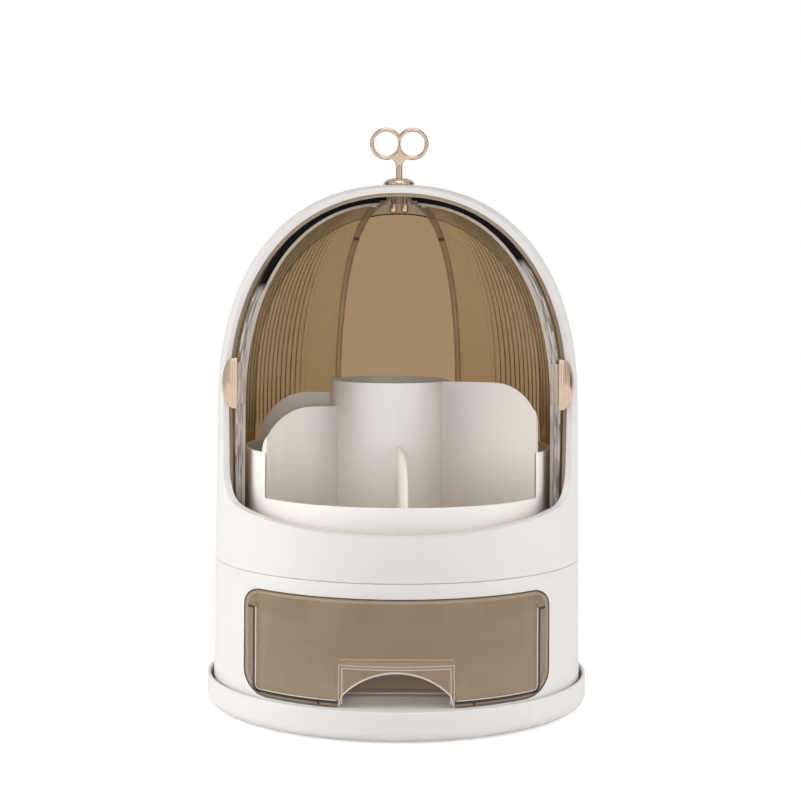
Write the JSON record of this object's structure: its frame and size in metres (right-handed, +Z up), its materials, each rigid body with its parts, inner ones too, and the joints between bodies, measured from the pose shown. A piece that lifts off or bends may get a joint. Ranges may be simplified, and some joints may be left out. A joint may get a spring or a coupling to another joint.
{
  "type": "dustproof makeup organizer",
  "caption": "Round domed vanity box with swivelling quarter-dome doors, a divided tray, a curved clear drawer and a two-ring finial, on a turntable base.",
  "frame": {"origin": "centre of the base on the surface that the rubber feet stand on", "axes": "+Z up along the swivel axis, -Y out of the open front, +X to the right as seen from the front"},
  "size_m": [0.2602, 0.2602, 0.3936],
  "materials": {
    "white_plastic": "glossy moulded",
    "smoke_dome": "clear brown, polished",
    "smoke_door": "clear brown, polished, fluted inside",
    "smoke_drawer": "clear grey-brown, polished",
    "clear_plastic": "clear, polished",
    "champagne_metal": "pale champagne plating",
    "steel": "bright",
    "acetal": "plain",
    "foot_rubber": "soft matt"
  },
  "bodies": {
    "base": {"base_tray": "white_plastic", "base_feet": "foot_rubber", "glide_ring": "acetal", "swivel_washer": "steel", "swivel_screw": "steel"},
    "casing": {"lower_casing": "white_plastic", "inner_deck": "white_plastic", "deck_screws": "steel", "upper_casing": "white_plastic", "rear_dome": "smoke_dome", "insert_tray": "white_plastic", "brush_cup": "white_plastic", "tray_panel_left": "white_plastic", "tray_panel_right": "white_plastic", "tray_divider_front": "white_plastic", "tray_divider_side": "white_plastic", "hinge_pin_left": "champagne_metal", "hinge_pin_right": "champagne_metal", "finial_base": "champagne_metal", "finial_key": "champagne_metal"},
    "door_left": {"door_left": "smoke_door", "hinge_arm_left": "clear_plastic", "hinge_screw_left": "champagne_metal", "handle_left": "champagne_metal", "handle_block_left": "clear_plastic"},
    "door_right": {"door_right": "smoke_door", "hinge_arm_right": "clear_plastic", "hinge_screw_right": "champagne_metal", "handle_right": "champagne_metal", "handle_block_right": "clear_plastic"},
    "drawer": {"drawer": "smoke_drawer", "drawer_front": "smoke_drawer", "drawer_pocket": "clear_plastic"}
  },
  "joints": [
    {"name": "swivel", "type": "hinge", "parent": "base", "child": "casing", "pos_m": [0, 0, 0], "axis": [0, 0, 1], "continuous": true},
    {"name": "door_left", "type": "hinge", "parent": "casing", "child": "door_left", "pos_m": [-0.004, 0, 0.3], "axis": [0, 0, 1], "range_deg": [0, 69]},
    {"name": "door_right", "type": "hinge", "parent": "casing", "child": "door_right", "pos_m": [0.004, 0, 0.3], "axis": [0, 0, -1], "range_deg": [0, 69]},
    {"name": "drawer_slide", "type": "slide", "parent": "casing", "child": "drawer", "axis": [0, -1, 0], "range_m": [0, 0.125]}
  ]
}
